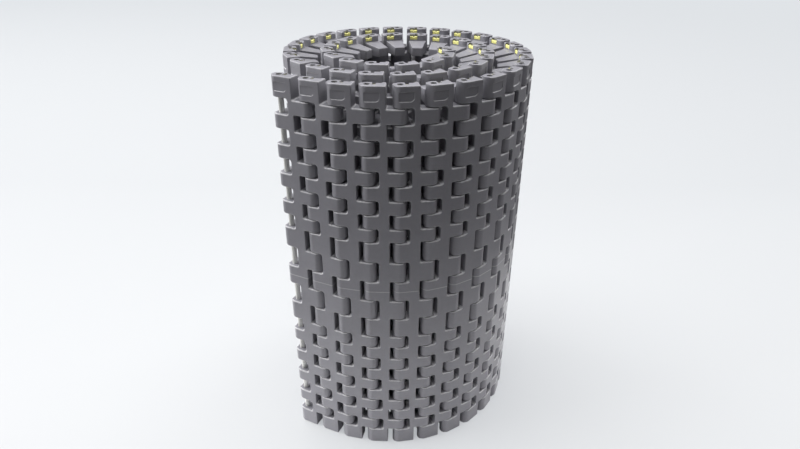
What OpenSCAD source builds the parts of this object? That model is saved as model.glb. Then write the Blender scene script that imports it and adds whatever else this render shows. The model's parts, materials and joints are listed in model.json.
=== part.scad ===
// Modular belt chain with slat links, rolled up and standing on its end.
// Every link turns on a full-width hinge pin that yellow clips keep in place.

/* [Link] */
// Distance between two hinge axes
pitch = 12.7; // [12:0.1:15]
// Thickness of the plate and diameter of the hinge eyes
plate_t = 6; // [5:0.1:6.4]
// Width of the cross bar that joins all fingers of a link
bar_w = 2.9; // [2:0.1:3.6]

/* [Fingers] */
// Width of the plain hinge fingers
plain_w = 6.1; // [4:0.1:8]
// Width of the narrow lug fingers
lug_w = 6.3; // [4:0.1:8]
// Width of the wide lug fingers in the middle
wide_w = 12; // [8:0.1:16]
// Width of the two lug fingers at the belt edges
edge_w = 8.7; // [6:0.1:12]
// Side gap between two neighbouring fingers
side_gap = 0.3; // [0.2:0.1:1.2]
// Size of the cut corners at the tips of the plain fingers
tip_cut = 1.2; // [0.6:0.1:1.6]
// Narrow lug fingers on each side of the middle
narrow_per_side = 4; // [2:1:6]
// Wide lug fingers in the middle
wide_count = 3; // [1:1:5]

/* [Hinge pin] */
// Diameter of the hinge pin
pin_d = 2.4; // [1.6:0.1:3]
// Clearance all round the pin in its bores
pin_play = 0.1; // [0.05:0.05:0.3]
// Depth of the pin's ends below the end faces of the link
pin_inset = 2.7; // [2.6:0.1:3.5]

/* [Drive lugs] */
// Height of the lugs below the plate
lug_h = 9.6; // [6:0.1:11]
// Length of a lug at its root
lug_root = 9; // [7:0.1:9.4]
// Length of a lug at its tip
lug_tip = 5.2; // [2.5:0.1:5.3]
// Reach of the lug's root behind the hinge axis
root_back = 2.5; // [1.5:0.1:2.8]
// Reach of the lug's tip behind the hinge axis
tip_back = 1.2; // [0.6:0.1:1.5]
// Step from the end face of the link down to the edge lugs
lug_step = 2.7; // [2.6:0.1:4]
// Slope of the outer end of the edge lugs
lug_slope = 9; // [0:1:25]

/* [Retaining clip] */
// Length of the clip's pocket along the belt
pocket_len = 3.9; // [3.4:0.1:4.2]
// Distance of the pocket from the hinge axis
pocket_at = 1.9; // [1.7:0.1:2.1]
// Depth of the pocket below the end face
pocket_depth = 2.4; // [2.2:0.1:2.5]
// Depth of the clip's top below the end face
clip_drop = 0.7; // [0.3:0.1:0.9]
// Thickness of the clip's back, which closes the pocket on the lug side
clip_t = 1.3; // [1:0.1:1.4]
// Clearance of the clip in its pocket
clip_play = 0.15; // [0.1:0.05:0.3]
// Length of the clip's foot along the belt
foot_len = 1.2; // [1:0.1:1.5]
// Reach of the foot beyond the hinge axis, towards the outer face
foot_reach = 0.25; // [0.1:0.05:0.6]
// Thickness of the tongue that crosses the pin's bore
tongue_t = 1; // [0.6:0.1:1.2]
// Width of the tongue
tongue_w = 1.7; // [1.2:0.1:1.9]
// Distance of the tongue's end from the hinge axis
tongue_end = 0.45; // [0:0.05:0.8]
// Width of the notch in the top of the clip's back
notch_w = 1.2; // [0.8:0.1:1.6]
// Depth of that notch
notch_depth = 0.7; // [0.4:0.1:0.9]

/* [Edge mark] */
// Depth of the shallow recess on the outer face of the upper edge finger
mark_depth = 0.3; // [0.1:0.05:0.5]
// Length of the recess along the belt
mark_len = 6.2; // [4:0.1:6.6]
// Height of the recess across the belt
mark_w = 4; // [3:0.1:4.4]
// Radius of the recess's rounded corner
mark_r = 1.6; // [0.5:0.1:2]
// Reach of the recess behind the hinge axis
mark_back = 1.2; // [0.8:0.1:1.6]
// Distance of the recess from the end face
mark_drop = 2.2; // [1.5:0.1:3]

/* [Roll] */
// Number of links in the roll
links = 52; // [12:1:52]
// Radius of the roll at its innermost hinge axis
inner_r = 22.3; // [22:0.1:30]
// Direction from the roll's centre to that axis
inner_angle = 31; // [0:1:359]
// Space between the lug tips of a wrap and the plates of the wrap inside it
wrap_gap = 1; // [0.8:0.1:6]
// Amount by which the wraps are pressed out of round
oval = 1.9; // [0:0.1:2.5]
// Direction in which the roll is widest
oval_turn = 179; // [0:1:179]
// Angle at which the first link stands off the roll
end_lift = 9; // [0:1:10]

/* [Hidden] */
$fn = 32;
eye_r = plate_t / 2;
bore_d = pin_d + 2 * pin_play;
bar_from = pitch / 2 - bar_w / 2;
bar_to = pitch / 2 + bar_w / 2;
lug_y = eye_r + lug_h;
wrap_pitch = plate_t + lug_h + wrap_gap;
// How far fused shapes reach into each other
seam = 0.6;
// How far a cut runs past the face that it opens
past = 1;

// Widths of the lug fingers from the lower edge to the upper edge
lug_widths = [
    edge_w,
    for (i = [1 : narrow_per_side]) lug_w,
    for (i = [1 : wide_count]) wide_w,
    for (i = [1 : narrow_per_side]) lug_w,
    edge_w
];
lug_count = len(lug_widths);
function widths_before(i) = i == 0 ? 0 : widths_before(i - 1) + lug_widths[i - 1];
function lug_at(i) = widths_before(i) + i * (plain_w + 2 * side_gap);
function plain_at(i) = lug_at(i) + lug_widths[i] + side_gap;
belt_w = lug_at(lug_count - 1) + edge_w;

// The roll: a slightly oval spiral, wound from its inner end, with one pitch between hinge axes
function turns(a) = (inner_angle - a) / 360;
function pressed(a) = oval * cos(2 * (a - oval_turn)) * turns(a) / (1 + turns(a));
function roll_r(a) = inner_r + wrap_pitch * turns(a) + pressed(a);
function roll_at(a) = roll_r(a) * [cos(a), sin(a)];
function arc_angle(length, a) = length / roll_r(a) * 180 / PI;
// The angle at which the spiral is one pitch away from a given hinge axis
function next_angle(axis, a, tries = 8) =
    tries == 0 ? a : next_angle(axis, a + arc_angle(norm(roll_at(a) - axis) - pitch, a), tries - 1);
angles = [
    for (k = 0, a = inner_angle; k <= links; k = k + 1, a = next_angle(roll_at(a), a - arc_angle(pitch, a))) a
];
// Hinge axes from the free end to the inner end, and the heading of each link from its own axis to the next
rolled = [for (k = [0 : links]) roll_at(angles[links - k])];
function nearest_turn(h, near) = h + 360 * round((near - h) / 360);
function direction(step) = atan2(step[1], step[0]);
function heading(k) = nearest_turn(direction(rolled[k + 1] - rolled[k]), angles[links - k] + 90);
headings = [for (k = [0 : links - 1]) heading(k) + (k == 0 ? end_lift : 0)];
free_end = rolled[1] - pitch * [cos(headings[0]), sin(headings[0])];
raw = [for (k = [0 : links]) k == 0 ? free_end : rolled[k]];
raw_x = [for (p = raw) p[0]];
raw_y = [for (p = raw) p[1]];
middle = [(min(raw_x) + max(raw_x)) / 2, (min(raw_y) + max(raw_y)) / 2];
axes_at = [for (p = raw) p - middle];

function two_digits(k) = k < 10 ? str("0", k) : str(k);
spare = 4;

module bar_profile() {
    translate([bar_from, -eye_r])
        square([bar_w, plate_t]);
}

// Plate from the eye on the lower hinge axis to the far side of the cross bar
module lug_plate_profile() {
    difference() {
        union() {
            circle(r = eye_r);
            translate([0, -eye_r])
                square([bar_to, plate_t]);
        }
        circle(d = bore_d);
    }
}

module lug_profile() {
    polygon([
        [-root_back, eye_r - seam],
        [-tip_back, lug_y],
        [-tip_back + lug_tip, lug_y],
        [-root_back + lug_root, eye_r],
        [-root_back + lug_root, eye_r - seam]
    ]);
}

// A lug finger in section: its eye, its plate and the drive lug under them
module lug_finger_profile() {
    difference() {
        union() {
            circle(r = eye_r);
            translate([0, -eye_r])
                square([bar_to, plate_t]);
            lug_profile();
        }
        circle(d = bore_d);
    }
}

module plain_finger_profile() {
    difference() {
        union() {
            translate([bar_from, -eye_r])
                square([pitch - bar_from, plate_t]);
            translate([pitch, 0])
                circle(r = eye_r);
        }
        translate([pitch, 0])
            circle(d = bore_d);
    }
}

// A plain finger with its lower side at z = 0 and cut corners at its tip
module plain_finger() {
    length = pitch + eye_r - bar_from;
    intersection() {
        linear_extrude(plain_w)
            plain_finger_profile();
        translate([bar_from, eye_r + past, 0])
            rotate([90, 0, 0])
                linear_extrude(plate_t + 2 * past)
                    polygon([
                        [0, 0],
                        [length - tip_cut, 0],
                        [length, tip_cut],
                        [length, plain_w - tip_cut],
                        [length - tip_cut, plain_w],
                        [0, plain_w]
                    ]);
    }
}

// The outline of the recess, with its width downwards from the end face
module mark_profile() {
    square([mark_len - mark_r, mark_w]);
    square([mark_len, mark_w - mark_r]);
    translate([mark_len - mark_r, mark_w - mark_r])
        circle(r = mark_r);
}

module mark_cut() {
    translate([-mark_back, -eye_r + mark_depth, mark_drop])
        rotate([90, 0, 0])
            linear_extrude(mark_depth + past)
                mark_profile();
}

// The clip's pocket: deep at the foot, shallow behind the back, open to the end face and the lug side
module pocket_cut() {
    back_y = eye_r - clip_play - clip_t;
    translate([pocket_at, -foot_reach - clip_play, -past])
        cube([foot_len + 2 * clip_play, eye_r + foot_reach + clip_play + past, pocket_depth + past]);
    translate([pocket_at, back_y - clip_play, -past])
        cube([pocket_len, eye_r - back_y + clip_play + past, pocket_depth + past]);
    translate([tongue_end - clip_play, -tongue_w / 2 - clip_play, pocket_depth - tongue_t - clip_play])
        cube([pocket_at - tongue_end + 4 * clip_play, tongue_w + 2 * clip_play, tongue_t + clip_play]);
}

// The lug of an edge finger: its outer end steps back from the end face and slopes
module edge_lug() {
    intersection() {
        linear_extrude(edge_w)
            lug_profile();
        translate([-root_back - past, 0, 0])
            rotate([90, 0, 90])
                linear_extrude(lug_root + 2 * past)
                    polygon([
                        [eye_r - seam, lug_step],
                        [lug_y, lug_step + (lug_h + seam) * tan(lug_slope)],
                        [lug_y + past, edge_w],
                        [eye_r - seam, edge_w]
                    ]);
    }
}

// An edge finger with its end face at z = 0
module edge_finger(marked) {
    difference() {
        union() {
            linear_extrude(edge_w)
                lug_plate_profile();
            edge_lug();
        }
        pocket_cut();
        if (marked)
            mark_cut();
        translate([0, 0, -past])
            cylinder(d = bore_d, h = edge_w + 2 * past);
    }
}

module moulding() {
    translate([0, 0, edge_w - seam])
        linear_extrude(belt_w - 2 * edge_w + 2 * seam)
            bar_profile();
    edge_finger(false);
    translate([0, 0, belt_w])
        mirror([0, 0, 1])
            edge_finger(true);
    for (i = [1 : lug_count - 2])
        translate([0, 0, lug_at(i)])
            linear_extrude(lug_widths[i])
                lug_finger_profile();
    for (i = [0 : lug_count - 2])
        translate([0, 0, plain_at(i)])
            plain_finger();
}

module pin() {
    translate([0, 0, pin_inset])
        cylinder(d = pin_d, h = belt_w - 2 * pin_inset);
}

// The clip's back, seen from the lug side: a bar with a notch in its top
module clip_back_profile() {
    length = pocket_len - 2 * clip_play;
    bottom = pocket_depth - clip_play;
    polygon([
        [0, bottom],
        [0, clip_drop],
        [(length - notch_w) / 2, clip_drop],
        [length / 2, clip_drop + notch_depth],
        [(length + notch_w) / 2, clip_drop],
        [length, clip_drop],
        [length, bottom]
    ]);
}

// A clip below an end face at z = 0, as it sits in the pocket
module clip() {
    translate([pocket_at + clip_play, eye_r - clip_play, 0])
        rotate([90, 0, 0])
            linear_extrude(clip_t)
                clip_back_profile();
    translate([pocket_at + clip_play, -foot_reach, clip_drop])
        cube([foot_len, eye_r + foot_reach - clip_play, pocket_depth - clip_play - clip_drop]);
    translate([tongue_end, -tongue_w / 2, pocket_depth - tongue_t])
        cube([pocket_at - tongue_end + 2 * clip_play, tongue_w, tongue_t - clip_play]);
}

module clips() {
    clip();
    translate([0, 0, belt_w])
        mirror([0, 0, 1])
            clip();
}

module placed(k) {
    translate([axes_at[k - 1][0], axes_at[k - 1][1], 0])
        rotate([0, 0, headings[k - 1]])
            children();
}

module link(k) {
    color("dimgray")
        placed(k)
            moulding();
    if (k > spare) {
        color("ivory")
            placed(k)
                pin();
        color("yellow")
            placed(k)
                clips();
    }
}

module hinge_pin(k) {
    color("ivory")
        placed(k)
            pin();
}

module pin_clips(k) {
    color("yellow")
        placed(k)
            clips();
}

for (k = [1 : links])
    link(k);
for (k = [1 : spare])
    hinge_pin(k);
for (k = [1 : spare])
    pin_clips(k);
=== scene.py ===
import json
import math

import bmesh
import bpy
from mathutils import Matrix, Vector


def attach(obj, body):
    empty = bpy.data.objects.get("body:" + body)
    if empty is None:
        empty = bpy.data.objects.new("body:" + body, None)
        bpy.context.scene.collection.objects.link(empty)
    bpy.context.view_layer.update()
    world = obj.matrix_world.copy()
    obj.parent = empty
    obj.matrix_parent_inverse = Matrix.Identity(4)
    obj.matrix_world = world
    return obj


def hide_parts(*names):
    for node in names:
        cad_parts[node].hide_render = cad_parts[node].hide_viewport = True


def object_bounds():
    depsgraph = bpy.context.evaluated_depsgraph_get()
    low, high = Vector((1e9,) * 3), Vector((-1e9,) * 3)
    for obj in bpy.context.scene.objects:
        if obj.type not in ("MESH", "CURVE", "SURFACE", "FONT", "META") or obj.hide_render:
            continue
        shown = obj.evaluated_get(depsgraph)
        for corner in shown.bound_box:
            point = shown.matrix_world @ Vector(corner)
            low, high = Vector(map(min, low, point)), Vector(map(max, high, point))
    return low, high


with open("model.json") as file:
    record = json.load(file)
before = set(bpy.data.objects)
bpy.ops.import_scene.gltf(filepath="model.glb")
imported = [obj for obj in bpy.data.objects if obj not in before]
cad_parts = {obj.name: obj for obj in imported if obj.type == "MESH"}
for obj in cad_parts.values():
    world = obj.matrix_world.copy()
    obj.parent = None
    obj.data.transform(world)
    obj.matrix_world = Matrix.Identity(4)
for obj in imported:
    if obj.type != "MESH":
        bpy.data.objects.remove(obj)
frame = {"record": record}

cad_low, cad_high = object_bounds()

# ---------------------------------------------------------------- sizes, in metres
MM = 0.001
PITCH = 12.7 * MM
PLATE = 6 * MM
EYE = PLATE / 2
# The cross bar: its width at the middle fingers and at the belt's edges, and how fast it widens between them
BAR_W, BAR_END_W, BAR_TAPER = 4.7 * MM, 1.8 * MM, 0.05
BAR_FROM = PITCH / 2 - BAR_W / 2
BAR_TO = PITCH / 2 + BAR_W / 2
# The fingers, from the lower edge of the belt to the upper edge
SIDE_GAP = 0.3 * MM
PLAIN_W, LUG_W, WIDE_W, EDGE_W = 6.1 * MM, 6.3 * MM, 9.64 * MM, 8.7 * MM
PLAIN_WIDTHS = [PLAIN_W] * 5 + [WIDE_W] * 2 + [PLAIN_W] * 5
LUG_WIDTHS = [EDGE_W] + [LUG_W] * 4 + [WIDE_W] * 3 + [LUG_W] * 4 + [EDGE_W]
BELT_W = sum(LUG_WIDTHS) + sum(PLAIN_WIDTHS) + 2 * SIDE_GAP * len(PLAIN_WIDTHS)
# Corner radii seen from outside: at the tips of the fingers, at the roots of the slots, and along the rims
PLAIN_TIP_R, WIDE_TIP_R, LUG_TIP_R = 1.2 * MM, 0.6 * MM, 0.7 * MM
SLOT_R, LUG_SLOT_R = 1.1 * MM, 0.5 * MM
RIM_R = 0.5 * MM
# Hinge pin and its bores. The bore of the plain fingers starts beside the first of them
PIN_D = 2.4 * MM
BORE_D = 2.6 * MM
PLAIN_BORE_AT = 5 * MM
PIN_INSET, PIN_END_R = 2.7 * MM, 0.3 * MM
# Drive lugs, whose root sinks into the plate and whose sides lie inside their finger's
LUG_TIP_Y = EYE + 9.6 * MM
LUG_SINK, LUG_INSET, LUG_EDGE_R = 0.8 * MM, 0.12 * MM, 0.45 * MM
ROOT_BACK, ROOT_LEN = 2.5 * MM, 9 * MM
TIP_BACK, TIP_LEN = 1.2 * MM, 5.2 * MM
LUG_STEP = 2.7 * MM
LUG_SLOPE = math.tan(math.radians(9))
# Retaining clips and their pockets
POCKET_AT, POCKET_LEN, POCKET_DEPTH = 1.9 * MM, 3.9 * MM, 2.4 * MM
CLIP_DROP, CLIP_T, CLIP_PLAY = 0.45 * MM, 1.3 * MM, 0.15 * MM
FOOT_LEN, FOOT_REACH, FOOT_DROP = 1.2 * MM, 0.25 * MM, 1.45 * MM
CLIP_BEVEL, CLIP_EDGE, CLIP_LIP = 0.5 * MM, 0.15 * MM, 0.05 * MM
TONGUE_T, TONGUE_W, TONGUE_END, TONGUE_EDGE = 1 * MM, 1.7 * MM, 0.45 * MM, 0.12 * MM
NOTCH_W, NOTCH_DEPTH = 1.2 * MM, 0.48 * MM
# The recess on the outer face near the upper edge
MARK_LEN, MARK_W, MARK_DEPTH, MARK_R = 6.2 * MM, 4 * MM, 0.3 * MM, 1.6 * MM
MARK_BACK, MARK_DROP, MARK_RISE = 1.2 * MM, 2.2 * MM, 0.1 * MM
MARK_SMALL_R, MARK_LIP = 0.5 * MM, 0.26 * MM
# How far a cutting tool reaches past what it cuts
PAST = 1 * MM
# Rims closer than this to the belt's edges are less worn and get no painted highlight
WEAR_HIGHLIGHT_INSET = 1.5 * MM
# The roll: an oval spiral, wound from its inner end
LINKS = 52
INNER_R = 22.3 * MM
INNER_ANGLE = math.radians(31)
WRAP = 16.6 * MM
OVAL = 1.9 * MM
OVAL_TURN = math.radians(179)
END_LIFT = math.radians(9)

lug_spans, plain_spans = [], []
z = 0.0
for i, w in enumerate(LUG_WIDTHS):
    lug_spans.append((z, z + w))
    z += w + SIDE_GAP
    if i < len(PLAIN_WIDTHS):
        plain_spans.append((z, z + PLAIN_WIDTHS[i]))
        z += PLAIN_WIDTHS[i] + SIDE_GAP


# ---------------------------------------------------------------- where each link lies
def roll():
    """(hinge axis, heading in radians) of each link, from the free end inwards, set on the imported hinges."""
    turns = lambda a: (INNER_ANGLE - a) / (2 * math.pi)
    oval = lambda a: OVAL * math.cos(2 * (a - OVAL_TURN)) * turns(a) / (1 + turns(a))
    radius = lambda a: INNER_R + WRAP * turns(a) + oval(a)
    point = lambda a: radius(a) * Vector((math.cos(a), math.sin(a)))
    a = INNER_ANGLE
    axes = [point(a)]
    for _ in range(LINKS):
        a -= PITCH / radius(a)
        for _ in range(8):
            a += ((point(a) - axes[0]).length - PITCH) / radius(a)
        axes.insert(0, point(a))
    headings = [math.atan2(q.y - p.y, q.x - p.x) for p, q in zip(axes, axes[1:])]
    headings[0] += END_LIFT
    axes[0] = axes[1] - PITCH * Vector((math.cos(headings[0]), math.sin(headings[0])))
    hinge = next(j for j in frame["record"]["behaviour"]["joints"] if j["name"] == "hinge_02")
    shift = Vector(hinge["pos_m"][:2]) - axes[1]
    return [(p + shift, h) for p, h in zip(axes, headings)]


ROLL = roll()
# The body that carries each node
bodies = {node: body for body, nodes in frame["record"]["behaviour"]["bodies"].items() for node in nodes}


# ---------------------------------------------------------------- modelling helpers
# Places closer than this are taken as one, and what is closer still is a double
SLACK, HAIR = 0.01 * MM, 0.001 * MM
# Edges sharper than this are rounded, or stay sharp when the rest is shaded smooth
SHARP, SMOOTH = math.radians(35), math.radians(40)


def only(obj):
    """Leaves obj alone selected and active, in object mode."""
    if bpy.context.object and bpy.context.object.mode != "OBJECT":
        bpy.ops.object.mode_set(mode="OBJECT")
    bpy.ops.object.select_all(action="DESELECT")
    obj.select_set(True)
    bpy.context.view_layer.objects.active = obj
    return obj


def settle(obj):
    """Puts the object's place, turn and scale into its mesh."""
    only(obj)
    bpy.ops.object.transform_apply(location=True, rotation=True, scale=True)
    return obj


def block(name, low, high):
    """A box primitive between two corners."""
    bpy.ops.object.select_all(action="DESELECT")
    centre = [(a + b) / 2 for a, b in zip(low, high)]
    size = [b - a for a, b in zip(low, high)]
    bpy.ops.mesh.primitive_cube_add(size=1, location=centre, scale=size)
    obj = bpy.context.active_object
    obj.name = name
    return settle(obj)


def rod(name, x, low, high, radius, sides):
    """A cylinder primitive along a hinge axis."""
    bpy.ops.object.select_all(action="DESELECT")
    bpy.ops.mesh.primitive_cylinder_add(
        vertices=sides, radius=radius, depth=high - low, location=(x, 0, (low + high) / 2))
    obj = bpy.context.active_object
    obj.name = name
    return settle(obj)


def edit(obj, mode="FACE"):
    """Opens obj in edit mode with nothing selected."""
    only(obj)
    bpy.ops.object.mode_set(mode="EDIT")
    bpy.ops.mesh.select_mode(type=mode)
    bpy.ops.mesh.select_all(action="DESELECT")


def pick(obj, kind, test):
    """Selects the faces, edges or vertices of obj, in edit mode, that pass the test."""
    bm = bmesh.from_edit_mesh(obj.data)
    for f in bm.faces:
        f.select = False
    for e in bm.edges:
        e.select = False
    for v in bm.verts:
        v.select = False
    count = 0
    for item in {"FACE": bm.faces, "EDGE": bm.edges, "VERT": bm.verts}[kind]:
        if test(item):
            item.select = True
            count += 1
    bm.select_flush_mode()
    bmesh.update_edit_mesh(obj.data)
    return count


def done():
    """Leaves edit mode."""
    bpy.ops.object.mode_set(mode="OBJECT")


def near(a, b):
    return abs(a - b) < SLACK


def soften(obj, width, segments, test=lambda e: True, clamp=True):
    """Rounds those sharp edges of obj that pass the test."""
    edit(obj, "EDGE")
    if pick(obj, "EDGE", lambda e: len(e.link_faces) == 2 and e.calc_face_angle() >= SHARP and test(e)):
        bpy.ops.mesh.bevel(offset=width, segments=segments, profile=0.5, affect="EDGES", clamp_overlap=clamp)
    done()
    return obj


def combine(obj, tool, operation):
    """Joins tool to obj or cuts it out, and deletes tool."""
    only(obj)
    join = obj.modifiers.new("combine", "BOOLEAN")
    join.operation = operation
    join.solver = "EXACT"
    join.object = tool
    bpy.ops.object.modifier_apply(modifier=join.name)
    bpy.data.objects.remove(tool, do_unlink=True)
    return obj


def finish_surface(obj):
    """Merges doubles, turns the normals outwards and shades obj smooth but for its sharp edges."""
    only(obj)
    bpy.ops.object.mode_set(mode="EDIT")
    bpy.ops.mesh.select_all(action="SELECT")
    bpy.ops.mesh.remove_doubles(threshold=HAIR)
    bpy.ops.mesh.normals_make_consistent(inside=False)
    bpy.ops.object.mode_set(mode="OBJECT")
    bpy.ops.object.shade_smooth_by_angle(angle=SMOOTH)
    even = obj.modifiers.new("even", "WEIGHTED_NORMAL")
    even.keep_sharp = True
    bpy.ops.object.modifier_apply(modifier=even.name)
    return obj


# ---------------------------------------------------------------- the moulding of one link
def bar_width(z):
    """Width of the cross bar at z: it narrows from the middle fingers to both edges of the belt."""
    return min(BAR_W, BAR_END_W + BAR_TAPER * min(z, BELT_W - z))


def comb():
    """The plate: a cross bar with lug fingers on one side and plain fingers on the other."""
    obj = block("comb", (BAR_FROM, -EYE - PAST, 0), (BAR_TO, EYE + PAST, BELT_W))
    edit(obj)
    for span in lug_spans + plain_spans:
        for cut in span:
            if HAIR < cut < BELT_W - HAIR:
                bpy.ops.mesh.select_all(action="SELECT")
                bpy.ops.mesh.bisect(plane_co=(0, 0, cut), plane_no=(0, 0, 1))
    inside = lambda z, spans: any(a < z < b for a, b in spans)
    pick(obj, "FACE", lambda f: f.normal.x < -0.9 and inside(f.calc_center_median().z, lug_spans))
    bpy.ops.mesh.extrude_region_move(TRANSFORM_OT_translate={"value": (-EYE - BAR_FROM, 0, 0)})
    pick(obj, "FACE", lambda f: f.normal.x > 0.9 and inside(f.calc_center_median().z, plain_spans))
    bpy.ops.mesh.extrude_region_move(TRANSFORM_OT_translate={"value": (PITCH + EYE - BAR_TO, 0, 0)})
    bpy.ops.mesh.select_all(action="SELECT")
    bpy.ops.mesh.dissolve_limited(angle_limit=0.01)
    # The roots of the slots follow the bar
    bpy.ops.mesh.select_mode(type="VERT")
    for x, inwards, spans in ((BAR_FROM, 1, plain_spans), (BAR_TO, -1, lug_spans)):
        for a, b in spans:
            pick(obj, "VERT", lambda v: near(v.co.x, x) and a - 2 * SIDE_GAP < v.co.z < b + 2 * SIDE_GAP)
            bpy.ops.transform.translate(value=(inwards * (BAR_W - bar_width((a + b) / 2)) / 2, 0, 0))
    # Rounded corners at the tips and at the roots of the fingers, as seen from outside
    bpy.ops.mesh.select_mode(type="EDGE")
    crosses = lambda e: abs(e.verts[0].co.y - e.verts[1].co.y) > EYE
    within = lambda e: HAIR < e.verts[0].co.z < BELT_W - HAIR
    middle = lambda e: abs(e.verts[0].co.z - BELT_W / 2) < 1.5 * WIDE_W + 2 * SIDE_GAP
    beside = lambda e: within(e) and not middle(e)
    for low, high, radius, where in (
            (-EYE, -EYE, LUG_TIP_R, within),
            (PITCH + EYE, PITCH + EYE, WIDE_TIP_R, middle),
            (PITCH + EYE, PITCH + EYE, PLAIN_TIP_R, beside),
            (BAR_FROM, PITCH / 2, SLOT_R, within),
            (PITCH / 2, BAR_TO, LUG_SLOT_R, within)):
        pick(obj, "EDGE", lambda e: crosses(e) and where(e) and low - HAIR < e.verts[0].co.x < high + HAIR)
        bpy.ops.mesh.bevel(offset=radius, segments=3, profile=0.5, affect="EDGES", clamp_overlap=False)
    done()
    # Full round eyes at the tips of all fingers
    round_plate = block("round_plate", (-EYE, -EYE, -PAST), (PITCH + EYE, EYE, BELT_W + PAST))
    edit(round_plate, "EDGE")
    pick(round_plate, "EDGE", lambda e: near(e.verts[0].co.x, e.verts[1].co.x)
         and near(e.verts[0].co.y, e.verts[1].co.y))
    almost_all = 0.995
    bpy.ops.mesh.bevel(offset=EYE * almost_all, segments=8, profile=0.5, affect="EDGES", clamp_overlap=False)
    done()
    return combine(obj, round_plate, "INTERSECT")


def lug(low, high, end=0):
    """One drive lug under its finger. end is -1 at the lower belt edge, 1 at the upper edge, 0 elsewhere."""
    a = low + (LUG_STEP if end < 0 else LUG_INSET)
    b = high - (LUG_STEP if end > 0 else LUG_INSET)
    obj = block("lug", (-ROOT_BACK, EYE - LUG_SINK, a), (-ROOT_BACK + ROOT_LEN, LUG_TIP_Y, b))
    edit(obj, "VERT")
    for root_x, tip_x in ((-ROOT_BACK, -TIP_BACK), (-ROOT_BACK + ROOT_LEN, -TIP_BACK + TIP_LEN)):
        pick(obj, "VERT", lambda v: near(v.co.y, LUG_TIP_Y) and near(v.co.x, root_x))
        bpy.ops.transform.translate(value=(tip_x - root_x, 0, 0))
    if end:
        rim = a if end < 0 else b
        pick(obj, "VERT", lambda v: near(v.co.y, LUG_TIP_Y) and near(v.co.z, rim))
        bpy.ops.transform.translate(value=(0, 0, -end * LUG_SLOPE * (LUG_TIP_Y - EYE)))
    done()
    soften(obj, LUG_EDGE_R, 2, test=lambda e: (e.verts[0].co.y + e.verts[1].co.y) / 2 > EYE + LUG_INSET)
    return obj


def from_end(end, a, b):
    """The low and high z of what lies between the depths a and b under one end face of the link."""
    return (a, b) if end < 0 else (BELT_W - b, BELT_W - a)


def pocket(end):
    """The tools that cut the clip's pocket and the slot of its tongue into one end face."""
    lo, hi = from_end(end, -PAST, POCKET_DEPTH)
    back_y = EYE - 2 * CLIP_PLAY - CLIP_T
    foot = block("foot_pocket", (POCKET_AT, -FOOT_REACH - CLIP_PLAY, lo),
                 (POCKET_AT + FOOT_LEN + 2 * CLIP_PLAY, EYE + PAST, hi))
    back = block("back_pocket", (POCKET_AT + FOOT_LEN, back_y, lo), (POCKET_AT + POCKET_LEN, EYE + PAST, hi))
    lo, hi = from_end(end, POCKET_DEPTH - TONGUE_T - CLIP_PLAY, POCKET_DEPTH)
    slot = block("slot", (TONGUE_END - CLIP_PLAY, -TONGUE_W / 2 - CLIP_PLAY, lo),
                 (POCKET_AT + 3 * CLIP_PLAY, TONGUE_W / 2 + CLIP_PLAY, hi))
    return foot, back, slot


def mark():
    """The tool for the shallow recess on the outer face of the upper edge finger."""
    lo, hi = from_end(1, MARK_DROP, MARK_DROP + MARK_W)
    far = -MARK_BACK + MARK_LEN
    tool = block("recess", (-MARK_BACK, -EYE - PAST, lo), (far, -EYE + MARK_DEPTH, hi))
    # Its floor rises a little towards the bar
    edit(tool, "VERT")
    pick(tool, "VERT", lambda v: near(v.co.x, far) and near(v.co.y, -EYE + MARK_DEPTH))
    bpy.ops.transform.translate(value=(0, -MARK_RISE, 0))
    bpy.ops.mesh.select_mode(type="EDGE")
    corner = lambda e, x: all(near(v.co.x, x) and near(v.co.z, lo) for v in e.verts)
    pick(tool, "EDGE", lambda e: corner(e, far))
    bpy.ops.mesh.bevel(offset=MARK_R, segments=6, profile=0.5, affect="EDGES")
    pick(tool, "EDGE", lambda e: corner(e, -MARK_BACK))
    bpy.ops.mesh.bevel(offset=MARK_SMALL_R, segments=3, profile=0.5, affect="EDGES")
    pick(tool, "EDGE", lambda e: all(v.co.y > -EYE for v in e.verts))
    bpy.ops.mesh.bevel(offset=MARK_LIP, segments=2, profile=0.5, affect="EDGES")
    done()
    return tool


def build_moulding():
    """One link: the plate with rounded rims, its drive lugs, bores, pockets and recess."""
    body = comb()
    low_x, high_x = -EYE + LUG_TIP_R - SLACK, PITCH + EYE - PLAIN_TIP_R + SLACK
    soften(body, RIM_R, 2, clamp=False, test=lambda e: all(low_x < v.co.x < high_x for v in e.verts))
    combine(body, lug(*lug_spans[0], -1), "UNION")
    for span in lug_spans[1:-1]:
        combine(body, lug(*span), "UNION")
    combine(body, lug(*lug_spans[-1], 1), "UNION")
    # Bores for the hinge pins, through the lug fingers and through the plain fingers
    for x, inset in ((0, -PAST), (PITCH, PLAIN_BORE_AT)):
        combine(body, rod("bore", x, inset, BELT_W - inset, BORE_D / 2, 20), "DIFFERENCE")
    for tool in (*pocket(-1), *pocket(1), mark()):
        combine(body, tool, "DIFFERENCE")
    finish_surface(body)
    # The rounded rims of the fingers are a little worn, and where they face up they also carry a painted
    # highlight of the light from above
    wear = body.data.attributes.new("wear", "FLOAT", "CORNER")
    for face in body.data.polygons:
        slants = 0.2 < abs(face.normal.z) < 0.97
        inner = WEAR_HIGHLIGHT_INSET < face.center.z < BELT_W - WEAR_HIGHLIGHT_INSET
        share = 0
        if slants and face.center.y < EYE:
            # Up-facing rims away from the belt's edges: wear plus painted highlight; all other rims: wear only
            share = 1 if inner and face.normal.z > 0 else 0.25
        for corner in face.loop_indices:
            wear.data[corner].value = share
    return body


def build_pin():
    """A hinge pin with rounded ends."""
    obj = rod("pin", 0, PIN_INSET, BELT_W - PIN_INSET, PIN_D / 2, 24)
    soften(obj, PIN_END_R, 2)
    return finish_surface(obj)


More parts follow.
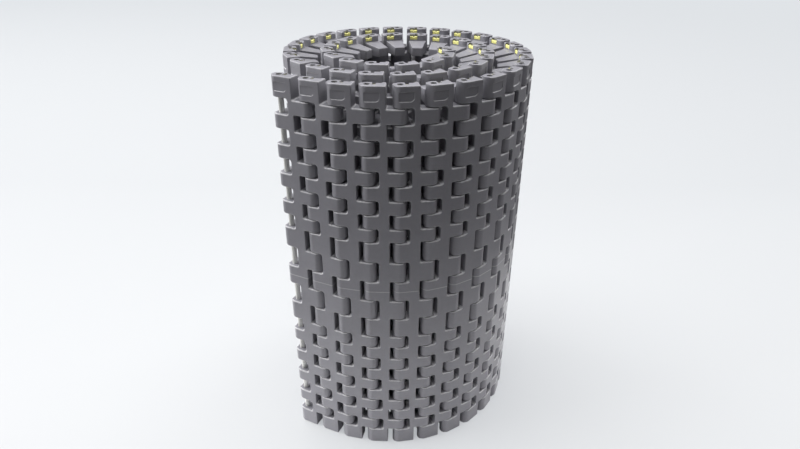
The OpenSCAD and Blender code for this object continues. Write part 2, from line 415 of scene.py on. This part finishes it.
def build_clip(end):
    """A retaining clip: a back with a notch in its top, a foot, and a tongue across the pin's bore."""
    x0, x1 = POCKET_AT + CLIP_PLAY, POCKET_AT + POCKET_LEN - CLIP_PLAY
    y1 = EYE - CLIP_PLAY
    lo, hi = from_end(end, CLIP_DROP, POCKET_DEPTH - CLIP_PLAY)
    body = block("clip", (x0, y1 - CLIP_T, lo), (x1, y1, hi))
    # The notch: the middle of the top pushed down between two cuts
    top = lo if end < 0 else hi
    mid = (x0 + x1) / 2
    edit(body)
    for x in (mid - NOTCH_W / 2, mid, mid + NOTCH_W / 2):
        bpy.ops.mesh.select_all(action="SELECT")
        bpy.ops.mesh.bisect(plane_co=(x, 0, 0), plane_no=(1, 0, 0))
    # The foot grows out of the near third of the back, below the pocket's mouth
    foot_top = from_end(end, FOOT_DROP, FOOT_DROP)[0]
    bpy.ops.mesh.select_all(action="SELECT")
    bpy.ops.mesh.bisect(plane_co=(0, 0, foot_top), plane_no=(0, 0, 1))
    pick(body, "FACE", lambda f: f.normal.y < -0.9 and f.calc_center_median().x < mid - NOTCH_W / 2
         and end * (f.calc_center_median().z - foot_top) < 0)
    bpy.ops.mesh.extrude_region_move(TRANSFORM_OT_translate={"value": (0, -FOOT_REACH - (y1 - CLIP_T), 0)})
    # The top slopes down to the outer side, with a bevel on its inner edge
    bpy.ops.mesh.select_mode(type="VERT")
    pick(body, "VERT", lambda v: near(v.co.y, y1 - CLIP_T) and near(v.co.z, top))
    bpy.ops.transform.translate(value=(0, 0, -end * (FOOT_DROP - CLIP_DROP - CLIP_LIP)))
    bpy.ops.mesh.select_mode(type="EDGE")
    pick(body, "EDGE", lambda e: all(near(v.co.y, y1) and near(v.co.z, top) for v in e.verts))
    bpy.ops.mesh.bevel(offset=CLIP_BEVEL, segments=1, affect="EDGES", clamp_overlap=False)
    bpy.ops.mesh.select_mode(type="VERT")
    pick(body, "VERT", lambda v: near(v.co.x, mid) and v.co.y > y1 - CLIP_T / 2
         and end * (v.co.z - foot_top) > HAIR)
    bpy.ops.transform.translate(value=(0, 0, -end * NOTCH_DEPTH))
    done()
    soften(body, CLIP_EDGE, 1)
    lo, hi = from_end(end, POCKET_DEPTH - TONGUE_T, POCKET_DEPTH - 1.2 * CLIP_PLAY)
    tongue = block("tongue", (TONGUE_END, -TONGUE_W / 2, lo), (POCKET_AT + 2 * CLIP_PLAY, TONGUE_W / 2, hi))
    soften(tongue, TONGUE_EDGE, 1)
    combine(body, tongue, "UNION")
    return finish_surface(body)


# ---------------------------------------------------------------- finishes
class Value:
    """A shader socket that takes part in Python arithmetic."""

    def __init__(self, finish, socket):
        self.finish, self.socket = finish, socket

    def _op(self, operation, *values):
        return self.finish.node("ShaderNodeMath", {"operation": operation}, *values)

    def __add__(self, o):
        return self._op("ADD", self, o)

    def __radd__(self, o):
        return self._op("ADD", o, self)

    def __sub__(self, o):
        return self._op("SUBTRACT", self, o)

    def __rsub__(self, o):
        return self._op("SUBTRACT", o, self)

    def __mul__(self, o):
        return self._op("MULTIPLY", self, o)

    def __rmul__(self, o):
        return self._op("MULTIPLY", o, self)

    def __truediv__(self, o):
        return self._op("DIVIDE", self, o)

    def __rtruediv__(self, o):
        return self._op("DIVIDE", o, self)

    def __pow__(self, o):
        return self._op("POWER", self, o)

    def __abs__(self):
        return self._op("ABSOLUTE", self)

    def up_to(self, o):
        return self._op("MINIMUM", self, o)

    def at_least(self, o):
        return self._op("MAXIMUM", self, o)

    def clamped(self):
        """The value kept between 0 and 1."""
        return self.at_least(0).up_to(1)


class Finish:
    """A material with its main shader, and one method that adds any node."""

    def __init__(self, name):
        self.material = bpy.data.materials.new(name)
        self.material.use_nodes = True
        self.tree = self.material.node_tree
        self.shader = self.tree.nodes["Principled BSDF"]

    def node(self, kind, settings=None, *inputs, out=0, **named):
        """Adds a node with its settings, then the values or links of its sockets, by place or by name."""
        n = self.tree.nodes.new(kind)
        for key, v in (settings or {}).items():
            setattr(n, key, v)
        for i, v in enumerate(inputs):
            self.put(n.inputs[i], v)
        for key, v in named.items():
            self.put(n.inputs[key.replace("_", " ")], v)
        return Value(self, n.outputs[out])

    def put(self, socket, v):
        """Links a value to a socket, or sets a constant on it."""
        if isinstance(v, Value):
            self.tree.links.new(v.socket, socket)
        else:
            socket.default_value = v

    def set(self, **values):
        """Fills sockets of the main shader."""
        for key, v in values.items():
            self.put(self.shader.inputs[key.replace("_", " ")], v)

    def noise(self, where, scale, detail=2, roughness=0.5):
        """Noise with this many waves to the metre."""
        return self.node(
            "ShaderNodeTexNoise", None, Vector=where, Scale=scale, Detail=detail, Roughness=roughness)

    def blend(self, share, a, b):
        """A colour between a and b."""
        n = self.tree.nodes.new("ShaderNodeMix")
        n.data_type = "RGBA"
        self.put(n.inputs["Factor"], share)
        self.put(n.inputs["A"], a)
        self.put(n.inputs["B"], b)
        return Value(self, n.outputs["Result"])


# Places of two outputs: Object on Texture Coordinate, and Is Camera Ray on Light Path
OBJECT_PLACE = 3
CAMERA_RAY = 0
BLACK = (0, 0, 0, 1)
# The mould line runs this far to each side of half width
SEAM_W = 0.28 * MM


def grey_plastic():
    f = Finish("grey_moulded_plastic")
    where = f.node("ShaderNodeTexCoord", out=OBJECT_PLACE)
    height = f.node("ShaderNodeSeparateXYZ", None, where, out=2)
    cloud = f.noise(where, 55, 3)
    grain = f.noise(where, 2600, roughness=0.6)
    specks = f.noise(where, 700)
    # The thin line that the mould leaves at half width
    seam = (1 - abs(height - BELT_W / 2) / SEAM_W).at_least(0)
    wear = f.node("ShaderNodeAttribute", {"attribute_name": "wear"}, out=2)
    tone = ((cloud - 0.5) * 0.9 + (specks - 0.5) * 0.35 + 0.5).clamped()
    # Rims painted lighter: a little wear on all of them and a painted highlight on those that face up; the
    # mould line is lighter too
    rubbed_and_highlit = (wear * (0.3 + specks) + seam * (0.15 + cloud * 0.9)).clamped()
    plain = f.blend(tone, (0.222, 0.219, 0.243, 1), (0.302, 0.298, 0.328, 1))
    relief = grain * 0.6 + specks * 0.4 + seam * 1.5
    f.set(Base_Color=f.blend(rubbed_and_highlit, plain, (0.66, 0.655, 0.68, 1)))
    f.set(Roughness=0.36 + (specks - 0.5) * 0.22 + (cloud - 0.5) * 0.12)
    f.set(Normal=f.node("ShaderNodeBump", None, Strength=0.35, Distance=0.12 * MM, Height=relief))
    f.set(Specular_IOR_Level=0.45)
    return f.material


def white_plastic():
    f = Finish("white_pin_plastic")
    where = f.node("ShaderNodeTexCoord", out=OBJECT_PLACE)
    cloud = f.noise(where, 120)
    grain = f.noise(where, 1800)
    f.set(Base_Color=f.blend(cloud, (0.70, 0.70, 0.67, 1), (0.82, 0.82, 0.80, 1)))
    f.set(Roughness=0.35 + (cloud - 0.5) * 0.2)
    f.set(Normal=f.node("ShaderNodeBump", None, Strength=0.2, Distance=0.08 * MM, Height=grain))
    return f.material


def yellow_plastic():
    f = Finish("yellow_clip_plastic")
    where = f.node("ShaderNodeTexCoord", out=OBJECT_PLACE)
    cloud = f.noise(where, 400)
    grain = f.noise(where, 2400)
    f.set(Base_Color=f.blend(cloud, (0.83, 0.80, 0.24, 1), (0.90, 0.87, 0.34, 1)))
    f.set(Roughness=0.48 + (cloud - 0.5) * 0.2)
    f.set(Normal=f.node("ShaderNodeBump", None, Strength=0.15, Distance=0.06 * MM, Height=grain))
    return f.material


GREY, WHITE, YELLOW = grey_plastic(), white_plastic(), yellow_plastic()

# ---------------------------------------------------------------- the roll
# Each kind of piece: the pattern for it, its finish and slot, and its own node where it has one
kinds = {
    "moulding": (build_moulding(), GREY, "link", "link_%02d"),
    "pin": (build_pin(), WHITE, "pin", "hinge_pin_%02d"),
    "clip_upper": (build_clip(1), YELLOW, "clip", "pin_clips_%02d"),
    "clip_lower": (build_clip(-1), YELLOW, "clip", "pin_clips_%02d"),
}
for k, (axis, heading) in enumerate(ROLL, start=1):
    place = Matrix.Translation((axis.x, axis.y, cad_low[2])) @ Matrix.Rotation(heading, 4, "Z")
    for kind, (pattern, finish, slot, own_node) in kinds.items():
        mesh = pattern.data.copy()
        mesh.transform(place)
        mesh.materials.clear()
        mesh.materials.append(finish)
        piece = bpy.data.objects.new("%s_%02d" % (kind, k), mesh)
        bpy.context.scene.collection.objects.link(piece)
        node = own_node % k if own_node % k in bodies else "link_%02d" % k
        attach(piece, bodies[node])
        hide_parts(node)
for pattern, *_ in kinds.values():
    bpy.data.objects.remove(pattern, do_unlink=True)

# ---------------------------------------------------------------- floor, light and camera
ROOM = (0.75, 0.78, 0.81, 1)
FLOOR_R, FLOOR_DROP = 40, 0.2 * MM
# How far from the part the floor throws light back, and where the camera sees it fade into the room
BOUNCE_R, BOUNCE_FADE = 0.24, 0.11
PALE_R, PALE_FADE = 0.4, 1.6


def pale_floor():
    """The floor, which gives the part a soft light from below and takes its shadow."""
    f = Finish("pale_floor")
    where = f.node("ShaderNodeTexCoord", out=OBJECT_PLACE)
    across = f.node("ShaderNodeSeparateXYZ", None, where, out=0)
    deep = f.node("ShaderNodeSeparateXYZ", None, where, out=1)
    away = (across * across + deep * deep) ** 0.5
    seen = f.node("ShaderNodeLightPath", out=CAMERA_RAY)
    # The floor near the part throws light back onto it, and the room beyond stays dark
    table = ((BOUNCE_R - away) / BOUNCE_FADE).clamped()
    bounce = f.blend(table, (0.06, 0.06, 0.06, 1), (0.95, 0.95, 0.96, 1))
    # The camera sees the floor glow pale, with a painted falloff of light that leaves it brighter in front of
    # the part than behind it, and with the part's shadow on it; far off it fades into the room's colour
    falloff_behind = ((deep + 0.04) / 0.30).clamped()
    far = ((away - PALE_R) / PALE_FADE).clamped()
    pale = f.blend(falloff_behind, (0.425, 0.44, 0.46, 1), (0.33, 0.35, 0.375, 1))
    shown = f.blend(far, (0.30, 0.30, 0.30, 1), BLACK)
    f.set(Base_Color=f.blend(seen, bounce, shown), Roughness=0.9)
    f.set(Emission_Color=f.blend(seen, BLACK, f.blend(far, pale, ROOM)))
    f.set(Emission_Strength=1, Specular_IOR_Level=0)
    return f.material


bpy.ops.object.select_all(action="DESELECT")
bpy.ops.mesh.primitive_circle_add(
    vertices=64, radius=FLOOR_R, fill_type="NGON", location=(0, 0, cad_low[2] - FLOOR_DROP))
floor = settle(bpy.context.active_object)
floor.name = "floor"
floor.data.materials.append(pale_floor())

scene = bpy.context.scene
scene.view_settings.view_transform = "Standard"
world = bpy.data.worlds.new("pale_room")
scene.world = world
world.use_nodes = True
glow = world.node_tree.nodes["Background"]
# Only the camera sees the room, so that it adds no light
rays = world.node_tree.nodes.new("ShaderNodeLightPath")
world.node_tree.links.new(rays.outputs["Is Camera Ray"], glow.inputs["Strength"])
glow.inputs["Color"].default_value = ROOM

LIT_POINT = Vector((0, 0, 0.1))


def softbox(name, place, width, height, power):
    """A white rectangular light aimed at the part."""
    data = bpy.data.lights.new(name, "AREA")
    data.shape = "RECTANGLE"
    data.size = width
    data.size_y = height
    data.energy = power
    obj = bpy.data.objects.new(name, data)
    scene.collection.objects.link(obj)
    obj.location = place
    obj.rotation_euler = (LIT_POINT - Vector(place)).to_track_quat("-Z", "Y").to_euler()


softbox("top_light", (-0.2, 0.15, 2.0), 2.2, 2.2, 62)
softbox("left_light", (-2.0, 0.2, 0.8), 1.9, 1.7, 46)
softbox("left_rim_light", (-2.6, 2.0, 1.05), 2.2, 2.0, 52)
softbox("right_light", (2.0, 0.2, 0.8), 1.6, 1.4, 5)
softbox("right_rim_light", (2.6, 2.0, 1.05), 2.2, 2.0, 58)
softbox("back_light", (0.0, 2.2, 1.5), 3.2, 1.4, 5)

camera_data = bpy.data.cameras.new("camera")
camera_data.sensor_width = 36
camera_data.sensor_fit = "HORIZONTAL"
camera_data.lens = 27.72
camera_data.clip_start = 10 * MM
camera = bpy.data.objects.new("camera", camera_data)
scene.collection.objects.link(camera)
camera.location = (-0.0036, -0.2835, 0.2471)
# In radians: how far it looks down, to the right, and leans
tilt, turn, lean = 0.4931, 0.0036, 0.0059
ahead = Vector((math.sin(turn) * math.cos(tilt), math.cos(turn) * math.cos(tilt), -math.sin(tilt)))
facing = ahead.to_track_quat("-Z", "Y").to_matrix() @ Matrix.Rotation(lean, 3, "Z")
camera.rotation_euler = facing.to_euler()
scene.camera = camera
